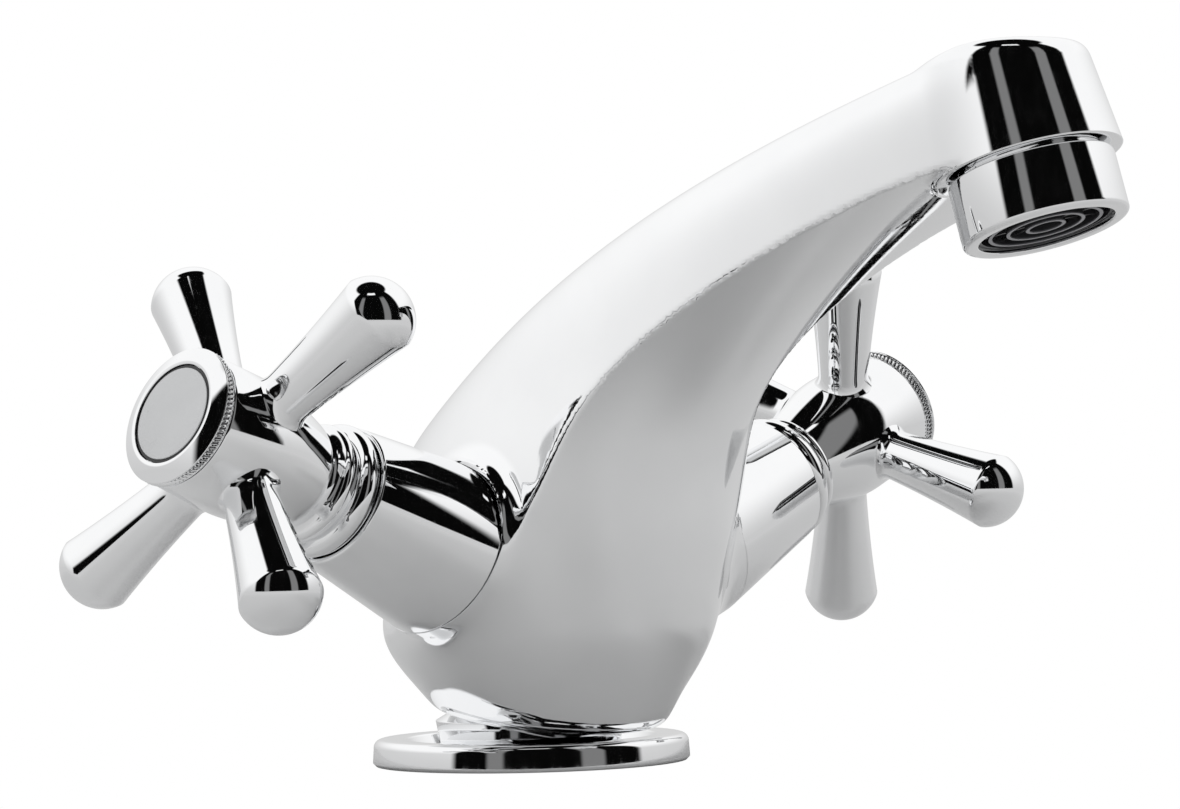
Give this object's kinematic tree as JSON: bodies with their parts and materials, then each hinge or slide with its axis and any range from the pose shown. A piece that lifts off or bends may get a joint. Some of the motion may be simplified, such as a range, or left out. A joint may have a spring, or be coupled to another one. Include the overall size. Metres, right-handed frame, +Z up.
{
  "type": "single-hole basin mixer",
  "caption": "Chromed single-hole basin mixer with an arched fixed spout, round base ring and two cross handles on rising side valves.",
  "frame": {"origin": "centre of the base ring on the basin deck", "axes": "+Z up, spout towards -Y, hot handle towards -X, cold handle towards +X"},
  "size_m": [0.1719, 0.1484, 0.109],
  "materials": {
    "chrome": "polished chrome plate on brass",
    "brass": "machined",
    "steel": "stainless",
    "ceramic": "lapped alumina ceramic",
    "black_rubber": "moulded",
    "dark_plastic": "moulded",
    "index_plastic": "smooth"
  },
  "bodies": {
    "mixer": {"aerator_insert": "dark_plastic", "aerator_screen": "steel", "aerator_shell": "chrome", "aerator_washer": "black_rubber", "base_gasket": "black_rubber", "base_ring": "chrome", "body_casting": "chrome", "cold_bush": "brass", "cold_fixed_disc": "ceramic", "cold_seat_seal": "black_rubber", "cold_shroud": "chrome", "hot_bush": "brass", "hot_fixed_disc": "ceramic", "hot_seat_seal": "black_rubber", "hot_shroud": "chrome"},
    "hot_handle_set": {"hot_handle": "chrome", "hot_cap_ring": "chrome", "hot_index_disc": "index_plastic", "hot_handle_screw": "steel", "hot_spindle": "brass", "hot_spindle_o_rings": "black_rubber", "hot_circlip": "steel", "hot_turning_disc": "ceramic"},
    "cold_handle_set": {"cold_handle": "chrome", "cold_cap_ring": "chrome", "cold_index_disc": "index_plastic", "cold_handle_screw": "steel", "cold_spindle": "brass", "cold_spindle_o_rings": "black_rubber", "cold_circlip": "steel", "cold_turning_disc": "ceramic"}
  },
  "joints": [
    {"name": "hot_handle_turn", "type": "hinge", "parent": "mixer", "child": "hot_handle_set", "pos_m": [0, -0.0085, 0.0243], "axis": [-0.9259, 0, 0.3778], "range_deg": [0, 90]},
    {"name": "cold_handle_turn", "type": "hinge", "parent": "mixer", "child": "cold_handle_set", "pos_m": [0, -0.0085, 0.0243], "axis": [0.9259, 0, 0.3778], "range_deg": [0, 90]}
  ]
}
